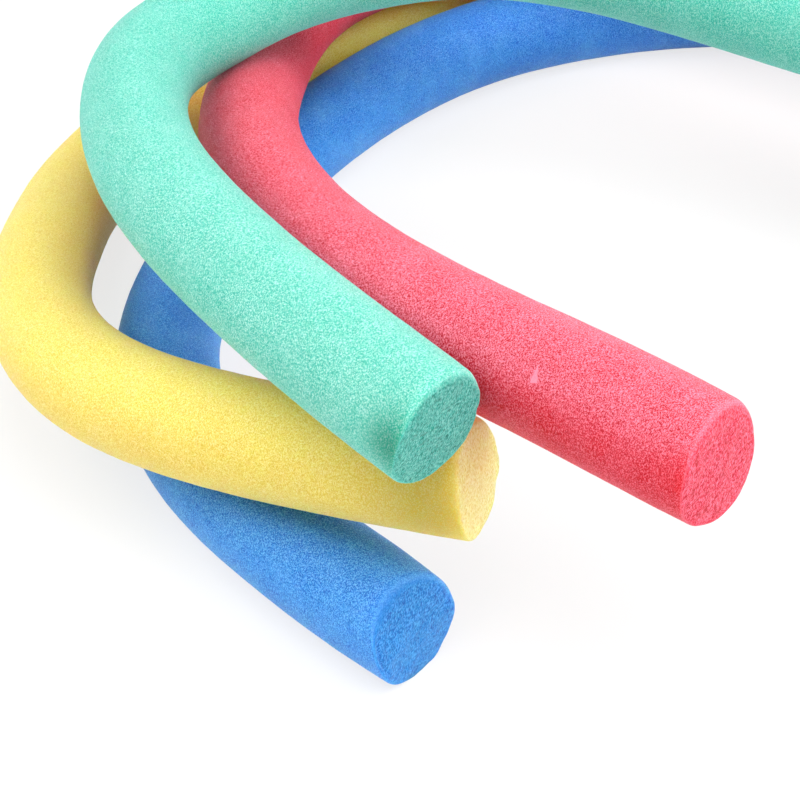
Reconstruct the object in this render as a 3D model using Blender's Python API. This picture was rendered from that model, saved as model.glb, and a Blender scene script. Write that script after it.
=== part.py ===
"""Four solid foam pool noodles, each bent into an open U, stacked in a loose pile on the floor.

Lengths are metres and +Z is up. The origin is at the bottom centre of the pile's box. The blue
noodle lies on the floor, and the yellow, red and green noodles lie on it in that order. Each
noodle follows a route that is drawn in plan, and its height along the route is worked out from
what it rests on.
"""
import math

import bmesh
import bpy
import numpy as np

# Driving sizes
noodle_length = 1.500
noodle_diameter = 0.065
seat_gap = 0.0003
floor_flat_depth = 0.0005

# Fineness of the solids
side_count = 24
ring_pitch_share = 0.45
sample_count = 500
settle_rounds = 8
seat_reach_share = 0.03

# Plan of each noodle from its near cut end: across and away, in shares of the noodle's length
blue_route_shares = [
    (0.005, 0.508), (-0.042, 0.556), (-0.079, 0.607), (-0.096, 0.667), (-0.088, 0.736),
    (-0.061, 0.811), (-0.017, 0.881), (0.041, 0.937), (0.115, 0.970), (0.204, 0.976),
    (0.257, 0.953), (0.297, 0.911), (0.320, 0.855), (0.329, 0.792), (0.328, 0.731),
    (0.318, 0.672),
]
yellow_route_shares = [
    (0.026, 0.524), (-0.059, 0.564), (-0.119, 0.610), (-0.146, 0.666), (-0.150, 0.725),
    (-0.147, 0.782), (-0.131, 0.833), (-0.100, 0.879), (-0.055, 0.920), (-0.005, 0.961),
    (0.050, 0.997), (0.112, 1.023), (0.178, 1.032), (0.244, 1.020), (0.304, 0.988),
    (0.354, 0.940), (0.390, 0.880),
]
red_route_shares = [
    (0.099, 0.480), (0.046, 0.531), (0.001, 0.578), (-0.032, 0.633), (-0.056, 0.699),
    (-0.066, 0.775), (-0.060, 0.854), (-0.048, 0.893), (-0.023, 0.930), (0.016, 0.955),
    (0.064, 0.965), (0.115, 0.957), (0.166, 0.932), (0.215, 0.894), (0.257, 0.848),
    (0.291, 0.795), (0.315, 0.737), (0.331, 0.677), (0.338, 0.616),
]
green_route_shares = [
    (0.009, 0.499), (-0.047, 0.571), (-0.088, 0.640), (-0.106, 0.705), (-0.102, 0.754),
    (-0.082, 0.786), (-0.051, 0.815), (-0.006, 0.832), (0.051, 0.833), (0.120, 0.806),
    (0.204, 0.763), (0.254, 0.739), (0.305, 0.715), (0.355, 0.686), (0.402, 0.649),
    (0.440, 0.603), (0.468, 0.548), (0.483, 0.486),
]

# Height along each noodle: the station in shares of its length, and how high its axis lies above
# its place on the floor in diameters, or None where it rests on what is beneath it
blue_height_shares = [(0.0, 0.0), (1.0, 0.0)]
yellow_height_shares = [(0.00, 1.30), (0.12, None), (0.27, 0.48), (0.42, None), (0.70, None), (1.00, None)]
red_height_shares = [
    (0.00, 2.30), (0.08, None), (0.22, 1.80), (0.32, 1.40), (0.43, None),
    (0.64, None), (1.00, None),
]
green_height_shares = [
    (0.00, 2.33), (0.12, 2.32), (0.31, None), (0.47, 2.35), (0.64, 2.15),
    (0.77, None), (1.00, 1.40),
]

# Colour and roughness of each foam
foam_roughness = 0.75
noodle_colours = {
    "blue_noodle": (0.045, 0.205, 0.68),
    "yellow_noodle": (0.90, 0.72, 0.13),
    "red_noodle": (0.74, 0.06, 0.10),
    "green_noodle": (0.09, 0.66, 0.45),
}

noodle_radius = noodle_diameter / 2
facet_radius = noodle_radius * math.cos(math.pi / side_count)
floor_height = facet_radius - floor_flat_depth


def clear_scene():
    for thing in list(bpy.data.objects):
        bpy.data.objects.remove(thing, do_unlink=True)


def natural_spline(knots, values, where):
    """The smooth curve through the values: a cubic between each two knots, with free ends."""
    count = len(knots)
    steps = np.diff(knots)
    system = np.eye(count)
    target = np.zeros((count, values.shape[1]))
    for i in range(1, count - 1):
        system[i, i - 1:i + 2] = steps[i - 1], 2 * (steps[i - 1] + steps[i]), steps[i]
        rise = np.diff(values[i - 1:i + 2], axis=0) / steps[i - 1:i + 1, None]
        target[i] = 6 * (rise[1] - rise[0])
    bends = np.linalg.solve(system, target)
    span = np.clip(np.searchsorted(knots, where) - 1, 0, count - 2)
    step = steps[span][:, None]
    after = (where - knots[span])[:, None]
    before = step - after
    curved = (bends[span] * before ** 3 + bends[span + 1] * after ** 3) / (6 * step)
    start = (values[span] / step - bends[span] * step / 6) * before
    end = (values[span + 1] / step - bends[span + 1] * step / 6) * after
    return curved + start + end


def steady_curve(knots, values, where):
    """A curve through the values that never swings past them."""
    steps = np.diff(knots)
    rises = np.diff(values) / steps
    slopes = np.zeros(len(knots))
    slopes[0], slopes[-1] = rises[0], rises[-1]
    for i in range(1, len(knots) - 1):
        if rises[i - 1] * rises[i] > 0:
            slopes[i] = 2 * rises[i - 1] * rises[i] / (rises[i - 1] + rises[i])
    span = np.clip(np.searchsorted(knots, where) - 1, 0, len(knots) - 2)
    t = (where - knots[span]) / steps[span]
    start = values[span] + steps[span] * slopes[span] * t
    end = values[span + 1] - steps[span] * slopes[span + 1] * (1 - t)
    blend = t * t * (3 - 2 * t)
    return start * (1 - blend) + end * blend


def run_along(points):
    """The distance from the first point to each point."""
    return np.concatenate([[0], np.cumsum(np.linalg.norm(np.diff(points, axis=0), axis=1))])


def plan_route(route_shares):
    """Evenly spaced points along a noodle's route in plan, cut to the noodle's length."""
    corners = np.array(route_shares) * noodle_length
    knots = run_along(corners)
    fine = natural_spline(knots, corners, np.linspace(0, knots[-1], 4 * sample_count))
    run = run_along(fine)
    even = np.linspace(0, min(noodle_length, run[-1]), sample_count)
    return np.stack([np.interp(even, run, fine[:, side]) for side in (0, 1)], axis=1)


def needed_heights(plan, beneath):
    """The lowest height of the axis at each point that clears the floor and the noodles beneath."""
    heights = np.full(len(plan), floor_height)
    reach = noodle_diameter + seat_gap
    for axis in beneath:
        apart = np.linalg.norm(plan[:, None] - axis[None, :, :2], axis=2)
        rise = np.sqrt(np.maximum(reach ** 2 - apart ** 2, 0))
        resting = np.where(apart < reach, axis[None, :, 2] + rise, 0)
        heights = np.maximum(heights, resting.max(axis=1))
    return heights


def settled_heights(plan, height_shares, beneath):
    """The axis heights of a noodle that touches what is beneath it at each resting station."""
    along = np.linspace(0, 1, len(plan))
    needed = needed_heights(plan, beneath)
    stations = np.array([share for share, lift in height_shares])
    resting = [lift is None for share, lift in height_shares]
    nearby = [np.abs(along - station) <= seat_reach_share for station in stations]
    heights = np.array([needed[near].max() if lift is None else floor_height + lift * noodle_diameter
                        for near, (share, lift) in zip(nearby, height_shares)])
    for _ in range(settle_rounds):
        curve = steady_curve(stations, heights, along)
        for i, near in enumerate(nearby):
            if resting[i]:
                heights[i] += (needed - curve)[near].max()
    curve = steady_curve(stations, heights, along)
    return curve + max(0, (needed - curve).max())


def noodle_axis(route_shares, height_shares, beneath):
    plan = plan_route(route_shares)
    heights = settled_heights(plan, height_shares, beneath)
    return np.column_stack([plan, heights])


def pile_axes():
    """The axis of each noodle, from the bottom of the pile to its top."""
    axes = {}
    for name, route_shares, height_shares in (
        ("blue_noodle", blue_route_shares, blue_height_shares),
        ("yellow_noodle", yellow_route_shares, yellow_height_shares),
        ("red_noodle", red_route_shares, red_height_shares),
        ("green_noodle", green_route_shares, green_height_shares),
    ):
        axes[name] = noodle_axis(route_shares, height_shares, list(axes.values()))
    return axes


def foam_material(name, colour):
    material = bpy.data.materials.new(name)
    material.use_nodes = True
    shader = material.node_tree.nodes["Principled BSDF"]
    shader.inputs["Base Color"].default_value = (*colour, 1)
    shader.inputs["Roughness"].default_value = foam_roughness
    shader.inputs["Metallic"].default_value = 0
    material.diffuse_color = (*colour, 1)
    return material


def noodle_tube(name, axis, collection):
    """A tube along the axis with flat cut ends, seen from its near end's centre."""
    ring_count = max(2, round(noodle_length / (noodle_diameter * ring_pitch_share)))
    picks = np.linspace(0, len(axis) - 1, ring_count).round().astype(int)
    curve = bpy.data.curves.new(name + "_route", "CURVE")
    curve.dimensions = "3D"
    curve.twist_mode = "Z_UP"
    curve.bevel_depth = noodle_radius
    curve.bevel_resolution = (side_count - 4) // 2
    curve.use_fill_caps = True
    spline = curve.splines.new("POLY")
    spline.points.add(ring_count - 1)
    for point, place in zip(spline.points, axis[picks] - axis[0]):
        point.co = (*place, 1)
        point.tilt = math.pi / side_count
    guide = bpy.data.objects.new(name + "_guide", curve)
    collection.objects.link(guide)
    bpy.context.view_layer.update()
    evaluated = guide.evaluated_get(bpy.context.evaluated_depsgraph_get())
    mesh = bpy.data.meshes.new_from_object(evaluated)
    bpy.data.objects.remove(guide, do_unlink=True)
    mesh.name = name
    return mesh


def finish_mesh(mesh, lift):
    """Weld the caps, and press the underside flat where the tube lies on the floor."""
    work = bmesh.new()
    work.from_mesh(mesh)
    bmesh.ops.remove_doubles(work, verts=work.verts, dist=seat_gap / 10)
    for vertex in work.verts:
        vertex.co.z = max(vertex.co.z, -lift)
    bmesh.ops.recalc_face_normals(work, faces=work.faces)
    work.to_mesh(mesh)
    work.free()
    mesh.shade_smooth()
    mesh.set_sharp_from_angle(angle=math.radians(40))


def plan_centre(meshes, axes):
    """The middle of the pile's box."""
    corners = []
    for name, mesh in meshes.items():
        corners.extend(axes[name][0] + np.array(vertex.co) for vertex in mesh.vertices)
    return (np.min(corners, axis=0) + np.max(corners, axis=0)) / 2


def build():
    clear_scene()
    pile = bpy.data.collections.new("pool_noodles")
    bpy.context.scene.collection.children.link(pile)
    axes = pile_axes()
    meshes = {name: noodle_tube(name, axis, pile) for name, axis in axes.items()}
    for name, mesh in meshes.items():
        finish_mesh(mesh, axes[name][0][2])
        mesh.materials.clear()
        mesh.materials.append(foam_material(name.replace("noodle", "foam"), noodle_colours[name]))
    centre = plan_centre(meshes, axes)
    for name, mesh in meshes.items():
        noodle = bpy.data.objects.new(name, mesh)
        pile.objects.link(noodle)
        near_end = axes[name][0]
        noodle.location = (near_end[0] - centre[0], near_end[1] - centre[1], near_end[2])


build()
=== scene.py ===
"""Four solid foam pool noodles, bent into open U shapes and stacked in a loose pile.

Lengths are metres and +Z is up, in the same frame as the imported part. Each noodle is swept along
the route that its solid follows, with a rounded rim and a cellular cut face at both ends, and takes
the place of that solid.
"""

import math

import bpy
import numpy as np
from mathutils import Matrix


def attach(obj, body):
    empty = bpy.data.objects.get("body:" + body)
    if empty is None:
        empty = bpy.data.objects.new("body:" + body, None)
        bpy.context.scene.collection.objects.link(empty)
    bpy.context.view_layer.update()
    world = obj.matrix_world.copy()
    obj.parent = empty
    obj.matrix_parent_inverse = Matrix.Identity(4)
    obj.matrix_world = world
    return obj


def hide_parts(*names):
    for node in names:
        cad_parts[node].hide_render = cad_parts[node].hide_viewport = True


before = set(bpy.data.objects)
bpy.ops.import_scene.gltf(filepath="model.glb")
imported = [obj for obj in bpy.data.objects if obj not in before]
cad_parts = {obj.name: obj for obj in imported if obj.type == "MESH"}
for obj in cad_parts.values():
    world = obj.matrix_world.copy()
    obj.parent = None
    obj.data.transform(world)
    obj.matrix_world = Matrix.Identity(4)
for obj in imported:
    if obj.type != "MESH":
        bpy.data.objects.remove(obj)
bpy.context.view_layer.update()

# Sizes of the noodles
noodle_length = 1.500
noodle_diameter = 0.065
seat_gap = 0.0003
floor_flat_depth = 0.0005
solid_side_count = 24

# The camera: its foot on the floor, its height, how far it looks down, and its focal length as a
# share of the picture's width
camera_foot = (-0.23869, -1.13849)
camera_height = 0.787
camera_pitch = math.radians(38.24)
focal_share = 2.529

# Plan of each noodle from its near cut end: across and away from the camera's foot, in shares of
# the noodle's length
blue_route_shares = [
    (0.005, 0.508), (-0.042, 0.556), (-0.079, 0.607), (-0.096, 0.667), (-0.088, 0.736),
    (-0.061, 0.811), (-0.017, 0.881), (0.041, 0.937), (0.115, 0.970), (0.204, 0.976),
    (0.257, 0.953), (0.297, 0.911), (0.320, 0.855), (0.329, 0.792), (0.328, 0.731),
    (0.318, 0.672),
]
yellow_route_shares = [
    (0.026, 0.524), (-0.059, 0.564), (-0.119, 0.610), (-0.146, 0.666), (-0.150, 0.725),
    (-0.147, 0.782), (-0.131, 0.833), (-0.100, 0.879), (-0.055, 0.920), (-0.005, 0.961),
    (0.050, 0.997), (0.112, 1.023), (0.178, 1.032), (0.244, 1.020), (0.304, 0.988),
    (0.354, 0.940), (0.390, 0.880),
]
red_route_shares = [
    (0.099, 0.480), (0.046, 0.531), (0.001, 0.578), (-0.032, 0.633), (-0.056, 0.699),
    (-0.066, 0.775), (-0.060, 0.854), (-0.048, 0.893), (-0.023, 0.930), (0.016, 0.955),
    (0.064, 0.965), (0.115, 0.957), (0.166, 0.932), (0.215, 0.894), (0.257, 0.848),
    (0.291, 0.795), (0.315, 0.737), (0.331, 0.677), (0.338, 0.616),
]
green_route_shares = [
    (0.009, 0.499), (-0.047, 0.571), (-0.088, 0.640), (-0.106, 0.705), (-0.102, 0.754),
    (-0.082, 0.786), (-0.051, 0.815), (-0.006, 0.832), (0.051, 0.833), (0.120, 0.806),
    (0.204, 0.763), (0.254, 0.739), (0.305, 0.715), (0.355, 0.686), (0.402, 0.649),
    (0.440, 0.603), (0.468, 0.548), (0.483, 0.486),
]

# Height along each noodle: the station in shares of its length, and how high its axis lies above
# its place on the floor in diameters, or None where it rests on what is beneath it
blue_height_shares = [(0.0, 0.0), (1.0, 0.0)]
yellow_height_shares = [
    (0.00, 1.30), (0.12, None), (0.27, 0.48), (0.42, None), (0.70, None), (1.00, None),
]
red_height_shares = [
    (0.00, 2.30), (0.08, None), (0.22, 1.80), (0.32, 1.40), (0.43, None),
    (0.64, None), (1.00, None),
]
green_height_shares = [
    (0.00, 2.33), (0.12, 2.32), (0.31, None), (0.47, 2.35), (0.64, 2.15),
    (0.77, None), (1.00, 1.40),
]
sample_count = 500
plan_sample_count = 4 * sample_count
settle_rounds = 8
seat_reach_share = 0.03

noodle_radius = noodle_diameter / 2
floor_height = noodle_radius * math.cos(math.pi / solid_side_count) - floor_flat_depth

# Fineness of the visible meshes: the sides of a tube, the pitch of its rings within reach of the
# near end and past it, a finer one within reach of the far end, that on a cut, and a rim's steps
side_count = 112
near_pitch = 0.0013
near_reach = 0.130
far_pitch = 0.0030
far_reach = near_reach / 3
far_end_pitch = far_pitch / 2
face_pitch = 0.00075
rim_step_count = 7

# The random draws: how many values the noise has along each side of its grid, and how far apart the
# seeds of the noodles, of a noodle's two ends, and of its skin and its cut faces are
noise_grid_count = 24
noodle_seed_step = 100
far_end_seed_step = 50
cut_seed_step = 20

# The skin's gentle unevenness, all of it inward: how wide and how deep each kind of swell is
skin_swells = [(0.034, 0.00016), (0.011, 0.00009), (0.0045, 0.00005)]

# The unevenness of a cut face, and how far its middle stands out
cut_swells = [(0.014, 0.00050), (0.0050, 0.00028), (0.0022, 0.00020)]
cut_dome = 0.0012

# The rounding of a cut's rim, how much it gains at its top and loses at its bottom, and how uneven
# it is
rim_radius = 0.0034
rim_softening = 0.0020
rim_ragged = 0.0007

# How far each cut stands past the square end of its solid: on the whole, towards its right and its
# top side, and in two terms that warp it. Two more terms make its outline oval
near_cuts = {
    "blue": (0.0002, 0.0004, -0.0030, 0.0018, 0.0019, -0.0020, -0.0014),
    "yellow": (0.0002, -0.0022, -0.0016, 0.0013, -0.0002, -0.0003, -0.0001),
    "red": (0.0002, -0.0020, -0.0009, -0.0001, -0.0011, -0.0003, -0.0009),
    "green": (0.0063, -0.0048, 0.0049, 0.0006, -0.0011, -0.0004, -0.0005),
}
far_cuts = {
    "blue": (0, 0.0014, -0.0010, 0.0004, 0.0003, 0.0002, 0),
    "yellow": (0, -0.0012, 0.0016, -0.0003, 0.0004, 0, 0.0002),
    "red": (0, 0.0008, 0.0018, 0.0003, -0.0004, -0.0002, 0),
    "green": (0, -0.0016, -0.0008, 0.0004, 0.0002, 0, -0.0002),
}
# A slanted cut shears the tube behind it over this length
cut_blend = 0.045

# A nick in the red noodle's skin: its corners, as the distance along the noodle and the turn round it
nick_corners = [
    (0.0931, math.radians(128)), (0.0937, math.radians(149)), (0.0886, math.radians(146)),
]
nick_depth = 0.0006

# Dents in the skin behind the near cuts: how far along, at which turn, how long, how wide, how deep
# Each dent's spread also sets where the skin is painted darker, as painted shade
dents = {
    "green": [(-0.009, math.radians(169), 0.016, math.radians(30), 0.0008)],
    "red": [(0.002, math.radians(169), 0.024, math.radians(24), 0.0006)],
    "yellow": [(0.010, math.radians(180), 0.044, math.radians(54), 0.0004)],
}
# Bumps and notches of a near rim: at which turn, how wide, how far out
rim_bumps = {
    "blue": [(math.radians(-90), math.radians(24), -0.0016)],
    "yellow": [
        (math.radians(-22), math.radians(11), 0.0014), (math.radians(-39), math.radians(5), -0.0008),
    ],
    "green": [
        (math.radians(8), math.radians(4), 0.0004), (math.radians(-12), math.radians(4), -0.0004),
    ],
}
# How far behind the rim a bump dies away
bump_reach = 0.004
# Where a near rim is sharper: the middle of the stretch and its half width, as turns, and how much
sharp_rims = {
    "blue": (math.radians(184), math.radians(40)),
    "green": (math.radians(178), math.radians(45)),
    "red": (math.radians(172), math.radians(45)),
}
sharp_share = 0.65
# Where the skin stands up as a lip round the near cut: its middle and half width as turns
lips = {"blue": (math.radians(184), math.radians(34))}
# The groove inside that lip: its place and width in shares of the radius, and its depth
lip_place = 0.885
lip_width = 0.035
lip_depth = 0.0012
# How far round its rim the ragged edge keeps its height, in shares of the radius
ragged_size = 0.25

# What the mesh marks for the material: the band along a rim, at this much of cut face, the ring of
# the cut just inside it, from this share of the radius, and how the painted shade of a dent fades
# out on the cut
band_middle = 0.45
band_width = 0.18
ring_start = 0.86
ring_width = 0.05
ring_cut_share = 0.5
dent_shade_lead = 2.2
dent_shade_fade = 2.5


def natural_spline(knots, values, where):
    """The smooth curve through the values: a cubic between each two knots, with free ends."""
    count = len(knots)
    steps = np.diff(knots)
    system = np.eye(count)
    target = np.zeros((count, values.shape[1]))
    for i in range(1, count - 1):
        system[i, i - 1:i + 2] = steps[i - 1], 2 * (steps[i - 1] + steps[i]), steps[i]
        rise = np.diff(values[i - 1:i + 2], axis=0) / steps[i - 1:i + 1, None]
        target[i] = 6 * (rise[1] - rise[0])
    bends = np.linalg.solve(system, target)
    span = np.clip(np.searchsorted(knots, where) - 1, 0, count - 2)
    step = steps[span][:, None]
    after = (where - knots[span])[:, None]
    before = step - after
    curved = (bends[span] * before ** 3 + bends[span + 1] * after ** 3) / (6 * step)
    start = (values[span] / step - bends[span] * step / 6) * before
    end = (values[span + 1] / step - bends[span + 1] * step / 6) * after
    return curved + start + end


def steady_curve(knots, values, where):
    """A curve through the values that never swings past them."""
    steps = np.diff(knots)
    rises = np.diff(values) / steps
    slopes = np.zeros(len(knots))
    slopes[0], slopes[-1] = rises[0], rises[-1]
    for i in range(1, len(knots) - 1):
        if rises[i - 1] * rises[i] > 0:
            slopes[i] = 2 * rises[i - 1] * rises[i] / (rises[i - 1] + rises[i])
    span = np.clip(np.searchsorted(knots, where) - 1, 0, len(knots) - 2)
    t = (where - knots[span]) / steps[span]
    start = values[span] + steps[span] * slopes[span] * t
    end = values[span + 1] - steps[span] * slopes[span + 1] * (1 - t)
    blend = t * t * (3 - 2 * t)
    return start * (1 - blend) + end * blend


def run_along(points):
    """The distance from the first point to each point."""
    return np.concatenate([[0], np.cumsum(np.linalg.norm(np.diff(points, axis=0), axis=1))])


def plan_route(route_shares):
    """Evenly spaced points along a noodle's route in plan, cut to the noodle's length."""
    corners = np.array(route_shares) * noodle_length
    knots = run_along(corners)
    fine = natural_spline(knots, corners, np.linspace(0, knots[-1], plan_sample_count))
    run = run_along(fine)
    even = np.linspace(0, min(noodle_length, run[-1]), sample_count)
    return np.stack([np.interp(even, run, fine[:, side]) for side in (0, 1)], axis=1)


def needed_heights(plan, beneath):
    """The lowest height of the axis at each point that clears the floor and the noodles beneath."""
    heights = np.full(len(plan), floor_height)
    reach = noodle_diameter + seat_gap
    for axis in beneath:
        apart = np.linalg.norm(plan[:, None] - axis[None, :, :2], axis=2)
        rise = np.sqrt(np.maximum(reach ** 2 - apart ** 2, 0))
        resting = np.where(apart < reach, axis[None, :, 2] + rise, 0)
        heights = np.maximum(heights, resting.max(axis=1))
    return heights


def settled_heights(plan, height_shares, beneath):
    """The axis heights of a noodle that touches what is beneath it at each resting station."""
    along = np.linspace(0, 1, len(plan))
    needed = needed_heights(plan, beneath)
    stations = np.array([share for share, lift in height_shares])
    resting = [lift is None for share, lift in height_shares]
    nearby = [np.abs(along - station) <= seat_reach_share for station in stations]
    heights = np.array([needed[near].max() if lift is None else floor_height + lift * noodle_diameter
                        for near, (share, lift) in zip(nearby, height_shares)])
    for _ in range(settle_rounds):
        curve = steady_curve(stations, heights, along)
        for i, near in enumerate(nearby):
            if resting[i]:
                heights[i] += (needed - curve)[near].max()
    curve = steady_curve(stations, heights, along)
    return curve + max(0, (needed - curve).max())


def pile_axes():
    """The axis of each noodle in the part's frame, from the bottom of the pile to its top."""
    axes = {}
    for name, route_shares, height_shares in (
        ("blue", blue_route_shares, blue_height_shares),
        ("yellow", yellow_route_shares, yellow_height_shares),
        ("red", red_route_shares, red_height_shares),
        ("green", green_route_shares, green_height_shares),
    ):
        plan = plan_route(route_shares) + camera_foot
        heights = settled_heights(plan, height_shares, list(axes.values()))
        axes[name] = np.column_stack([plan, heights])
    return axes


def smooth_noise(places, size, seed):
    """Even noise between -1 and 1 that changes over about one size."""
    count = noise_grid_count
    grid = np.random.default_rng(seed).uniform(-1, 1, (count, count, count))
    spots = places / size
    low = np.floor(spots).astype(int)
    share = spots - low
    share = share * share * (3 - 2 * share)
    total = np.zeros(len(places))
    for corner in np.ndindex(2, 2, 2):
        weight = np.prod(np.where(corner, share, 1 - share), axis=1)
        x, y, z = ((low + corner) % count).T
        total += weight * grid[x, y, z]
    return total


def swell(places, swells, seed):
    """The sum of several sizes of even noise, each to its own depth."""
    return sum(depth * smooth_noise(places, size, seed + i) for i, (size, depth) in enumerate(swells))


def cut_lead(cut, turn, share):
    """How far the cut stands past the square end, at a turn and a share of the radius."""
    whole, right, top, warp, twist = cut[:5]
    tilt = right * np.cos(turn) + top * np.sin(turn)
    bent = warp * np.cos(2 * turn) + twist * np.sin(2 * turn)
    return whole + share * tilt + share ** 2 * bent


def end_profile(cut, bumps, sharp, lip, turn, seed):
    """The rings of one cut end, from its centre to where the tube starts: at each, how far it lies
    past the square end, its radius, and how much of it is cut rather than skin."""
    around = np.column_stack([turn * 0, np.cos(turn), np.sin(turn)])
    ragged = rim_ragged * smooth_noise(around, ragged_size, seed)
    rim = (rim_radius + rim_softening * np.sin(turn) + ragged) * (1 - sharp_share * sharp)
    square, lean = cut[5:]
    outer = noodle_radius + (square * np.cos(2 * turn) + lean * np.sin(2 * turn)) + bumps
    rings = []
    flat_count = round(noodle_radius / face_pitch)
    for step in range(1, flat_count + 1):
        radius = (outer - rim) * step / flat_count
        share = radius / outer
        groove = lip_depth * lip * np.exp(-((share - lip_place) / lip_width) ** 2)
        rings.append((cut_lead(cut, turn, share) + cut_dome * (1 - share ** 2) - groove, radius, 1.0))
    for step in range(1, rim_step_count + 1):
        rise = math.pi / 2 * step / rim_step_count
        radius = outer - rim + rim * math.sin(rise)
        share = radius / outer
        past = cut_lead(cut, turn, share) + cut_dome * (1 - share ** 2) - rim * (1 - math.cos(rise))
        rings.append((past, radius, 1 - step / rim_step_count))
    return rings


def nick_sides():
    """The nick's three sides on the unrolled skin: a point of each, and which way is inside."""
    corners = np.array([(place, angle * noodle_radius) for place, angle in nick_corners])
    sides = []
    for i in range(3):
        start, end, other = corners[i], corners[(i + 1) % 3], corners[(i + 2) % 3]
        side = np.array([start[1] - end[1], end[0] - start[0]])
        side /= np.linalg.norm(side)
        sides.append((start, side if (other - start) @ side > 0 else -side))
    return sides


def nick_share(along, turn):
    """How far inside the nick each point lies: 0 outside and on its edge, 1 in its middle."""
    spots = np.stack([along, turn * noodle_radius], axis=-1)
    inside = np.min([(spots - start) @ side for start, side in nick_sides()], axis=0)
    return np.clip(inside / nick_depth, 0, 1)


def turn_between(turn, middle):
    """The signed turn from the middle to each turn."""
    return (turn - middle + math.pi) % (2 * math.pi) - math.pi


def dent_shares(name, along, turn):
    """How deep each point lies in its noodle's dents, and how much of a dent it is, for its painted
    shade.
    """
    depth = np.zeros(len(along))
    share = np.zeros(len(along))
    for place, middle, length, width, deepest in dents.get(name, []):
        bell = np.exp(-((along - place) / length) ** 2 - (turn_between(turn, middle) / width) ** 2)
        depth += deepest * bell
        share = np.maximum(share, bell)
    return depth, share


def arc_share(turn, arc):
    """1 in the middle of an arc and 0 outside it, or 0 all round where there is none."""
    if arc is None:
        return 0 * turn
    middle, half_width = arc
    return np.clip(1 - (turn_between(turn, middle) / half_width) ** 2, 0, 1)


def unbent_rings(name, length, seed):
    """The noodle before bending: the turns of each ring's points, how far along it they lie, their
    radii, and how much of each ring is cut face."""
    turn = np.linspace(0, 2 * math.pi, side_count, endpoint=False)
    bumps = np.zeros(side_count)
    for middle, width, out in rim_bumps.get(name, []):
        bumps += out * np.exp(-(turn_between(turn, middle) / width) ** 4)
    sharp, lip = arc_share(turn, sharp_rims.get(name)), arc_share(turn, lips.get(name))
    near = end_profile(near_cuts[name], bumps, sharp, lip, turn, seed)
    none = np.zeros(side_count)
    far = end_profile(far_cuts[name], none, none, none, turn, seed + far_end_seed_step)
    along = [-past for past, radius, cut in near]
    radii = [radius for past, radius, cut in near]
    cuts = [cut for past, radius, cut in near]
    stations = np.concatenate([
        np.arange(rim_radius + near_pitch, near_reach, near_pitch),
        np.arange(near_reach, length - far_reach, far_pitch),
        np.arange(length - far_reach, length - rim_radius, far_end_pitch),
    ])
    for station in stations:
        near_share = max(0, 1 - (station - rim_radius) / cut_blend) ** 2
        far_share = max(0, 1 - (length - station - rim_radius) / cut_blend) ** 2
        lean = (near[-1][0] + rim_radius) * near_share
        push = (far[-1][0] + rim_radius) * far_share
        along.append(station - lean + push)
        wider = (near[-1][1] - bumps - noodle_radius) * near_share
        wider = wider + (far[-1][1] - noodle_radius) * far_share
        wider += bumps * math.exp(-(station - rim_radius) / bump_reach)
        radii.append(noodle_radius + wider)
        cuts.append(0.0)
    along += [length + past for past, radius, cut in far[::-1]]
    radii += [radius for past, radius, cut in far[::-1]]
    cuts += [cut for past, radius, cut in far[::-1]]
    return turn, np.array(along), np.array(radii), np.array(cuts)


def bend_along(axis, unbent):
    """Carry unbent points onto the noodle's axis, which runs on straight past both its ends."""
    run = run_along(axis)
    reach = noodle_diameter
    ahead = np.gradient(axis, axis=0)
    ahead /= np.linalg.norm(ahead, axis=1)[:, None]
    run = np.concatenate([[-reach], run, [run[-1] + reach]])
    axis = np.vstack([axis[0] - reach * ahead[0], axis, axis[-1] + reach * ahead[-1]])
    ahead = np.vstack([ahead[0], ahead, ahead[-1]])
    along = unbent[:, 0]
    centre = np.stack([np.interp(along, run, axis[:, side]) for side in (0, 1, 2)], axis=1)
    ahead = np.stack([np.interp(along, run, ahead[:, side]) for side in (0, 1, 2)], axis=1)
    ahead /= np.linalg.norm(ahead, axis=1)[:, None]
    across = np.cross(ahead, (0, 0, 1))
    across /= np.linalg.norm(across, axis=1)[:, None]
    up = np.cross(across, ahead)
    return centre + unbent[:, 1:2] * across + unbent[:, 2:3] * up


def tube_faces(ring_count):
    """The quads between the rings, and the triangles round the centre of each end."""
    side = np.arange(side_count)
    after = (side + 1) % side_count
    first = np.arange(ring_count - 1)[:, None] * side_count
    second = first + side_count
    walls = np.stack([first + side, first + after, second + after, second + side], axis=-1)
    last = (ring_count - 1) * side_count
    near_centre = ring_count * side_count
    far_centre = near_centre + 1
    faces = [(near_centre, int(j), int(i)) for i, j in zip(side, after)]
    faces += [tuple(quad) for quad in walls.reshape(-1, 4).tolist()]
    faces += [(last + int(i), last + int(j), far_centre) for i, j in zip(side, after)]
    return faces


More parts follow.
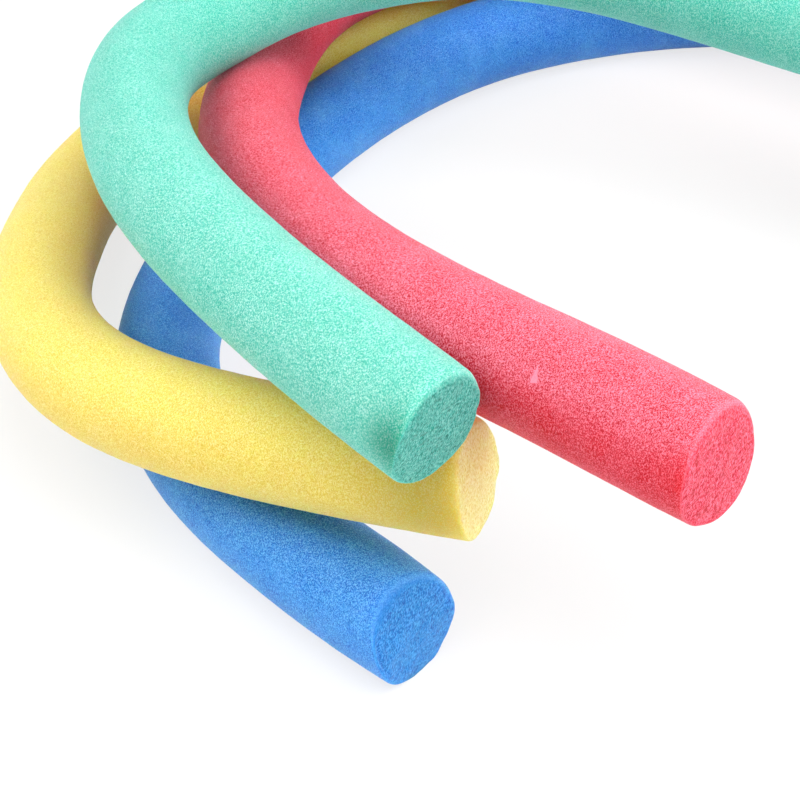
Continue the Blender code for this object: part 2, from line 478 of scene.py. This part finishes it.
def noodle_mesh(name, axis, seed):
    """A swept tube with uneven skin, soft rims and slanted, warped cuts."""
    length = run_along(axis)[-1]
    turn, along, radii, cuts = unbent_rings(name, length, seed)
    ring_count = len(along)
    turns = np.tile(turn, ring_count)
    cut = np.repeat(cuts, side_count)
    across, up = radii * np.cos(turn), radii * np.sin(turn)
    places = np.column_stack([along.ravel(), across.ravel(), up.ravel()])
    centre_past = near_cuts[name][0] + cut_dome, far_cuts[name][0] + cut_dome
    places = np.vstack([places, (-centre_past[0], 0, 0), (length + centre_past[1], 0, 0)])
    turns = np.append(turns, (0, 0))
    cut = np.append(cut, (1, 1))
    skin_depth = sum(depth for size, depth in skin_swells)
    sink = swell(places, skin_swells, seed) - skin_depth
    dent_depth, dent_shade = dent_shares(name, places[:, 0], turns)
    sink -= dent_depth
    if name == "red":
        sink -= nick_depth * nick_share(places[:, 0], turns % (2 * math.pi)) * (cut == 0)
    from_middle = np.hypot(places[:, 1], places[:, 2]) / noodle_radius
    band = np.exp(-((cut - band_middle) / band_width) ** 2)
    ring = np.clip((from_middle - ring_start) / ring_width, 0, 1) * np.clip(cut / ring_cut_share, 0, 1)
    # Painted shade in the dents behind the near cuts, fading out on the cut face
    dent_shade_there = dent_shade * np.clip(dent_shade_lead - dent_shade_fade * cut, 0, 1)
    shift = swell(places, cut_swells, seed + cut_seed_step)
    outward = np.where(places[:, 0] < length / 2, -1, 1)
    skin = np.sqrt(1 - cut ** 2)
    moved = places.copy()
    moved[:, 0] += outward * shift * cut
    moved[:, 1] += sink * skin * np.cos(turns)
    moved[:, 2] += sink * skin * np.sin(turns)
    vertices = bend_along(axis, moved)
    # The underside is pressed flat where it lies on the floor
    vertices[:, 2] = np.maximum(vertices[:, 2], 0)
    mesh = bpy.data.meshes.new(name + "_foam_noodle")
    mesh.from_pydata(vertices.tolist(), [], tube_faces(ring_count))
    unbent = mesh.attributes.new("unbent", "FLOAT_VECTOR", "POINT")
    unbent.data.foreach_set("vector", places.astype(np.float32).ravel())
    for label, values in (("cut", cut), ("dent_shade", dent_shade_there), ("band", band), ("ring", ring)):
        share = mesh.attributes.new(label, "FLOAT", "POINT")
        share.data.foreach_set("value", values.astype(np.float32))
    mesh.shade_smooth()
    return mesh


class Nodes:
    """Small helper that adds nodes to a material or a world and links them."""

    def __init__(self, material):
        material.use_nodes = True
        self.tree = material.node_tree
        self.tree.nodes.clear()

    def feed(self, socket, value):
        """Link another node's output to a socket, or set the socket's own value."""
        if isinstance(value, bpy.types.NodeSocket):
            self.tree.links.new(value, socket)
        else:
            socket.default_value = value

    def add(self, kind, inputs=None, **settings):
        """A new node with its settings made and its sockets fed."""
        node = self.tree.nodes.new(kind)
        for key, value in settings.items():
            setattr(node, key, value)
        for key, value in (inputs or {}).items():
            self.feed(node.inputs[key], value)
        return node

    def math(self, operation, *values):
        """The result of one operation on the values."""
        node = self.add("ShaderNodeMath", operation=operation)
        for socket, value in zip(node.inputs, values):
            self.feed(socket, value)
        return node.outputs[0]

    def times(self, first, *others):
        """The product of the values."""
        for other in others:
            first = self.math("MULTIPLY", first, other)
        return first

    def mix(self, factor, low, high):
        """One colour at a factor of 0, blended into the other at 1. Sockets 6 and 7 take them."""
        return self.add("ShaderNodeMix", {0: factor, 6: low, 7: high}, data_type="RGBA").outputs[2]

    def blend(self, factor, low, high):
        """One number at a factor of 0, blended into the other at 1. Sockets 2 and 3 take them."""
        return self.add("ShaderNodeMix", {0: factor, 2: low, 3: high}).outputs[0]

    def ramp(self, value, start, end, low=0.0, high=1.0):
        """An even rise from low to high as the value goes from start to end, and level past both."""
        return self.add("ShaderNodeMapRange", {
            "Value": value, "From Min": start, "From Max": end, "To Min": low, "To Max": high,
        }).outputs[0]

    def noise(self, place, scale, detail=1.0, distortion=0.0):
        """Even noise from 0 to 1 through the foam."""
        return self.add("ShaderNodeTexNoise", {
            "Vector": place, "Scale": scale, "Detail": detail, "Distortion": distortion,
        }).outputs["Fac"]

    def mark(self, name, output="Fac"):
        """What the mesh holds under this name."""
        return self.add("ShaderNodeAttribute", attribute_name=name).outputs[output]

    def seen(self):
        """1 for what the camera, a mirror or clear matter shows, and 0 for the light on the object."""
        path = self.add("ShaderNodeLightPath")
        shown = self.math("MAXIMUM", path.outputs["Is Camera Ray"], path.outputs["Is Glossy Ray"])
        return self.math("MAXIMUM", shown, path.outputs["Is Transmission Ray"])

    def finish(self, kind, shader, socket):
        """Join the last shader to the output."""
        output = self.add(kind)
        self.tree.links.new(shader, output.inputs[socket])


def linear(colour):
    """A screen colour of 0 to 255 as the linear colour that a shader takes."""
    shares = [c / 255 for c in colour]
    return tuple(s / 12.92 if s <= 0.04045 else ((s + 0.055) / 1.055) ** 2.4 for s in shares) + (1.0,)


# Each foam: the colours of its skin, of the lighter strands on it and the darker pits between them,
# then the same three of its cut face, and its painted shade colour, laid in its dents and on its
# underside
foam_colours = {
    "blue": (
        (16, 132, 222), (136, 210, 252), (0, 72, 182),
        (30, 136, 212), (108, 190, 246), (6, 72, 168), (70, 164, 240),
    ),
    "yellow": (
        (246, 220, 100), (255, 244, 190), (214, 172, 36),
        (240, 226, 148), (248, 242, 192), (222, 190, 90), (180, 170, 66),
    ),
    "red": (
        (222, 46, 68), (244, 152, 176), (190, 6, 26),
        (228, 58, 84), (242, 132, 158), (192, 14, 36), (222, 24, 42),
    ),
    "green": (
        (84, 205, 184), (208, 240, 234), (8, 156, 132),
        (52, 172, 156), (144, 214, 206), (0, 108, 96), (0, 132, 106),
    ),
}
# How strongly each foam shows its skin's grain, its cut's grain, its cloudy patches and its pale rim,
# a painted highlight along the rounded rim, and how much its grain fades round the edge of the cut
foam_strengths = {
    "blue": (0.78, 0.75, 0.08, 0.20, 0.35), "yellow": (0.68, 0.95, 0.03, 0.10, 0.1),
    "red": (1.02, 1.15, 0.07, 0.34, 0.1), "green": (0.75, 0.9, 0.05, 0.06, 0.1),
}
# Painted light, fitted to where the photo is light and dark: how much paler each foam is painted towards
# its near end, as a painted highlight, and how much deeper far from it, as painted shade
foam_painted_light = {"blue": (0.06, 0.33), "yellow": (0.0, 0.05), "red": (0.31, 0.14), "green": (0.08, 0.02)}
# One more fitted drift: how much of its painted shade colour each foam shows on its underside, as painted
# shade
foam_under_shade = {"blue": 0.35, "yellow": 0.12, "red": 0.75, "green": 0.05}
# Where the painted highlight and shade set in and where they are whole: along the noodle, and up from its
# axis
near_range = (0.50, 0.12)
far_range = (0.60, 0.95)
under_range = (0.021, 0.005)
# How much of its pale colour a strand loses in painted shade, and how strongly the strands show away
# from the near end, where their fuller strength is part of the painted highlight
shaded_strand_loss = 0.6
far_strand_share = 0.68

# How strongly each foam mirrors what is round it
foam_mirrors = {"blue": 0.3, "yellow": 0.3, "red": 0.15, "green": 0.22}
# How much of each foam's light comes from under its skin
foam_weights = {"blue": 0.75, "yellow": 0.95, "red": 0.75, "green": 0.75}
# How far light travels under each foam's skin before it comes out again, in red, green and blue
foam_depths = {
    "blue": (0.0006, 0.0040, 0.0140), "yellow": (0.0500, 0.0260, 0.0010),
    "red": (0.0180, 0.0006, 0.0008), "green": (0.0008, 0.0120, 0.0090),
}
# How matt the foam is, and how strong and how wide the faint gleam of its fine fuzz is
foam_roughness = 0.55
foam_sheen = 0.06
foam_sheen_roughness = 0.5

# The grain of the skin and of the cut face: how fine it is, what share of that it has along the
# noodle, across it and up it, how wavy it is, and how much of it shows at full strength
skin_grain = (2100.0, (1.0, 0.55, 0.55), 0.5)
skin_grain_share = 0.85
cut_grain = (1600.0, (1.0, 1.0, 0.42), 0.3)
cut_grain_share = 0.8
# How far the saw's strokes on a cut face lean to the right
stroke_lean = math.radians(32)
# The two layers of a grain: the share of each in its relief, and how much finer the second is
coarse_share = 0.65
fine_share = 0.35
fine_scale = 1.2
# The relief at which strands and pits begin, and at which each is whole
grain_middle = 0.50
strand_height = 0.62
pit_height = 0.38
# How strongly the relief shows in the light, and how high it stands
relief_strength = 0.8
relief_height = 0.0005

# Cloudy patches of the skin: their fineness, and the noise at which they turn pale and deep
cloud_scale = 42.0
pale_range = (0.48, 0.70)
deep_range = (0.52, 0.30)
# Clumps of pits on the cut face
clump_scale = 300.0
clump_range = (0.55, 0.75)
clump_share = 0.55
# The ragged line where skin turns into cut face
edge_scale = 420.0
edge_share = 0.4
edge_range = (0.65, 1.15)
# How pale the nick is
nick_colour_share = 0.85


def grain_shares(nodes, place, scale, stretch, distortion):
    """How much of a light strand and how much of a dark pit lies at each place, and the relief."""
    drawn = nodes.add("ShaderNodeMapping", {"Vector": place, "Scale": stretch}).outputs[0]
    coarse = nodes.noise(drawn, scale, 0.0, distortion)
    fine = nodes.noise(place, scale * fine_scale, 0.0)
    relief = nodes.math("ADD", nodes.times(coarse, coarse_share), nodes.times(fine, fine_share))
    light = nodes.ramp(relief, grain_middle, strand_height)
    dark = nodes.ramp(relief, grain_middle, pit_height)
    return light, dark, relief


def nick_mask(nodes, place):
    """1 inside the nick and 0 outside it, from the three sides of its triangle."""
    apart = nodes.add("ShaderNodeSeparateXYZ", {0: place})
    turn = nodes.math("ARCTAN2", apart.outputs["Z"], apart.outputs["Y"])
    inside = 1.0
    for start, side in nick_sides():
        along = nodes.math("SUBTRACT", apart.outputs["X"], float(start[0]))
        around = nodes.math("SUBTRACT", nodes.times(turn, noodle_radius), float(start[1]))
        depth = nodes.math("ADD", nodes.times(along, float(side[0])), nodes.times(around, float(side[1])))
        inside = nodes.math("MINIMUM", inside, nodes.times(depth, 1 / nick_depth))
    return nodes.math("MAXIMUM", inside, 0.0)


def foam_material(name):
    """One foam: grainy, cloudy skin, and a coarser cut face with the saw's strokes in it."""
    tones = (linear(colour) for colour in foam_colours[name])
    skin, strand, pit, cut, cut_strand, cut_pit, shade_colour = tones
    skin_strength, cut_strength, cloud_strength, rim_strength, fade = foam_strengths[name]
    near_painted_highlight, far_painted_shade = foam_painted_light[name]
    material = bpy.data.materials.new(name + "_foam")
    nodes = Nodes(material)
    place = nodes.mark("unbent", "Vector")
    dent_shade = nodes.mark("dent_shade")
    ragged = nodes.times(nodes.noise(place, edge_scale), edge_share)
    on_cut = nodes.ramp(nodes.math("ADD", nodes.mark("cut"), ragged), *edge_range)
    plain = nodes.math("SUBTRACT", 1.0, nodes.times(nodes.mark("ring"), fade))

    spot = nodes.add("ShaderNodeSeparateXYZ", {0: place})
    # Painted light: the skin is painted paler towards the near end as a highlight, and deeper far from it
    # as shade
    near = nodes.ramp(spot.outputs["X"], *near_range)
    far = nodes.ramp(spot.outputs["X"], *far_range)
    under = nodes.ramp(spot.outputs["Z"], *under_range)
    highlight_share = nodes.math("SUBTRACT", nodes.math("SUBTRACT", near, dent_shade), under)
    # Painted shade: the dents and the underside are painted in a darker colour, as shade
    painted_shade = nodes.math("MAXIMUM", dent_shade, nodes.times(under, foam_under_shade[name]))
    skin = nodes.mix(nodes.math("MAXIMUM", nodes.times(highlight_share, near_painted_highlight), 0.0), skin, strand)
    skin = nodes.mix(nodes.times(far, far_painted_shade), skin, pit)
    skin = nodes.mix(painted_shade, skin, shade_colour)
    skin_strand = nodes.mix(nodes.times(painted_shade, shaded_strand_loss), strand, shade_colour)

    light, dark, skin_relief = grain_shares(nodes, place, *skin_grain)
    # The strands show stronger towards the near end, as part of the painted highlight
    showing = nodes.math("ADD", far_strand_share, nodes.times(near, 1 - far_strand_share))
    light = nodes.times(light, skin_grain_share * skin_strength, plain, showing)
    dark = nodes.times(dark, skin_grain_share * skin_strength, plain)
    colour = nodes.mix(dark, nodes.mix(light, skin, skin_strand), pit)
    clouds = nodes.noise(place, cloud_scale)
    colour = nodes.mix(nodes.times(nodes.ramp(clouds, *pale_range), cloud_strength), colour, strand)
    colour = nodes.mix(nodes.times(nodes.ramp(clouds, *deep_range), cloud_strength), colour, pit)

    stroked = nodes.add("ShaderNodeVectorRotate", {"Vector": place, "Angle": stroke_lean},
                        rotation_type="X_AXIS").outputs[0]
    light, dark, cut_relief = grain_shares(nodes, stroked, *cut_grain)
    clumps = nodes.ramp(nodes.noise(place, clump_scale), *clump_range)
    dark = nodes.math("ADD", dark, nodes.times(clumps, clump_share))
    light = nodes.times(light, cut_grain_share * cut_strength, plain)
    dark = nodes.times(dark, cut_grain_share * cut_strength, plain)
    cut_colour = nodes.mix(dark, nodes.mix(light, cut, cut_strand), cut_pit)

    colour = nodes.mix(on_cut, colour, cut_colour)
    # The pale band along the rim is a painted highlight on the rounded rim
    colour = nodes.mix(nodes.times(nodes.mark("band"), rim_strength), colour, strand)
    if name == "red":
        nick = nodes.times(nick_mask(nodes, place), nick_colour_share)
        colour = nodes.mix(nodes.math("MINIMUM", nick, nick_colour_share), colour, strand)
    bump = nodes.add("ShaderNodeBump", {
        "Height": nodes.blend(on_cut, skin_relief, cut_relief),
        "Strength": relief_strength, "Distance": relief_height,
    })
    shader = nodes.add("ShaderNodeBsdfPrincipled", {
        "Base Color": colour, "Roughness": foam_roughness, "Normal": bump.outputs[0],
        "Subsurface Weight": foam_weights[name], "Subsurface Radius": foam_depths[name],
        "Subsurface Scale": 1.0, "Specular IOR Level": foam_mirrors[name],
        "Sheen Weight": foam_sheen, "Sheen Roughness": foam_sheen_roughness,
    })
    nodes.finish("ShaderNodeOutputMaterial", shader.outputs[0], "Surface")
    return material


def dress_noodles():
    """Make each noodle, let it ride its own body, and put it in the place of its solid."""
    axes = pile_axes()
    for place_in_pile, (name, axis) in enumerate(axes.items()):
        mesh = noodle_mesh(name, axis, noodle_seed_step * place_in_pile)
        mesh.materials.append(foam_material(name))
        piece = bpy.data.objects.new(name + "_foam_noodle", mesh)
        bpy.context.scene.collection.objects.link(piece)
        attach(piece, name + "_noodle")
        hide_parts(name + "_noodle")


# The light of the studio's walls and of its ceiling, the size of its softboxes, and where each of
# them is and its power
horizon_light = 0.30
overhead_light = 0.28
softbox_size = 1.4
softboxes = {
    "left_softbox": ((-2.0, 0.2, 1.6), 20),
    "right_softbox": ((2.0, 0.2, 1.6), 35),
    "front_left_softbox": ((-1.5, -1.2, 1.8), 14),
    "front_right_softbox": ((1.5, -1.2, 1.8), 18),
    "top_softbox": ((0, -0.9, 2.2), 30),
}
white = (1, 1, 1, 1)
# The floor: its size and its own tone. Where it is seen, white is laid over it: this least share out
# to the first of these distances from its middle, and wholly past the second
floor_size = 8.0
floor_colour = (0.93, 0.93, 0.93, 1)
floor_roughness = 0.9
white_range = (0.9, 2.2)
least_white = 0.75


def studio_floor():
    """A pale floor that keeps the pile's shadow."""
    bpy.ops.mesh.primitive_plane_add(size=floor_size, location=(0, 0, 0))
    floor = bpy.context.object
    floor.name = "studio_floor"
    material = bpy.data.materials.new("studio_floor")
    nodes = Nodes(material)
    shader = nodes.add("ShaderNodeBsdfPrincipled", {
        "Base Color": floor_colour, "Roughness": floor_roughness, "Specular IOR Level": 0.0,
    })
    glow = nodes.add("ShaderNodeEmission", {"Color": white, "Strength": 1.0})
    place = nodes.add("ShaderNodeTexCoord").outputs["Object"]
    from_middle = nodes.add("ShaderNodeVectorMath", {0: place}, operation="LENGTH").outputs["Value"]
    whiteness = nodes.ramp(from_middle, *white_range, least_white, 1.0)
    mixed = nodes.add("ShaderNodeMixShader", {
        0: nodes.times(nodes.seen(), whiteness), 1: shader.outputs[0], 2: glow.outputs[0],
    })
    nodes.finish("ShaderNodeOutputMaterial", mixed.outputs[0], "Surface")
    floor.data.materials.append(material)


def studio_walls():
    """White all round where it is seen, and a soft plain light on the object."""
    world = bpy.data.worlds.new("studio")
    nodes = Nodes(world)
    towards = nodes.add("ShaderNodeTexCoord").outputs["Generated"]
    height = nodes.add("ShaderNodeSeparateXYZ", {0: towards}).outputs["Z"]
    sky = nodes.ramp(height, 0.0, 1.0, horizon_light, overhead_light)
    strength = nodes.blend(nodes.seen(), sky, 1.0)
    back = nodes.add("ShaderNodeBackground", {"Color": white, "Strength": strength})
    nodes.finish("ShaderNodeOutputWorld", back.outputs[0], "Surface")
    bpy.context.scene.world = world


def studio_lamps():
    """Softboxes that all face the middle of the pile."""
    for name, (place, power) in softboxes.items():
        lamp_data = bpy.data.lights.new(name, "AREA")
        lamp_data.size = softbox_size
        lamp_data.energy = power
        lamp = bpy.data.objects.new(name, lamp_data)
        bpy.context.scene.collection.objects.link(lamp)
        lamp.location = place
        aim = -np.array(place)
        tilt = math.atan2(math.hypot(aim[0], aim[1]), -aim[2])
        lamp.rotation_euler = (tilt, 0, math.atan2(-aim[0], aim[1]))


def camera():
    """The photo's own view."""
    data = bpy.data.cameras.new("camera")
    data.sensor_width = 36
    data.lens = focal_share * data.sensor_width
    data.clip_start = 0.01
    data.clip_end = 50
    eye = bpy.data.objects.new("camera", data)
    bpy.context.scene.collection.objects.link(eye)
    eye.location = (*camera_foot, camera_height)
    eye.rotation_euler = (math.pi / 2 - camera_pitch, 0, 0)
    bpy.context.scene.camera = eye


camera()
dress_noodles()
bpy.context.scene.view_settings.view_transform = "Standard"
studio_floor()
studio_walls()
studio_lamps()
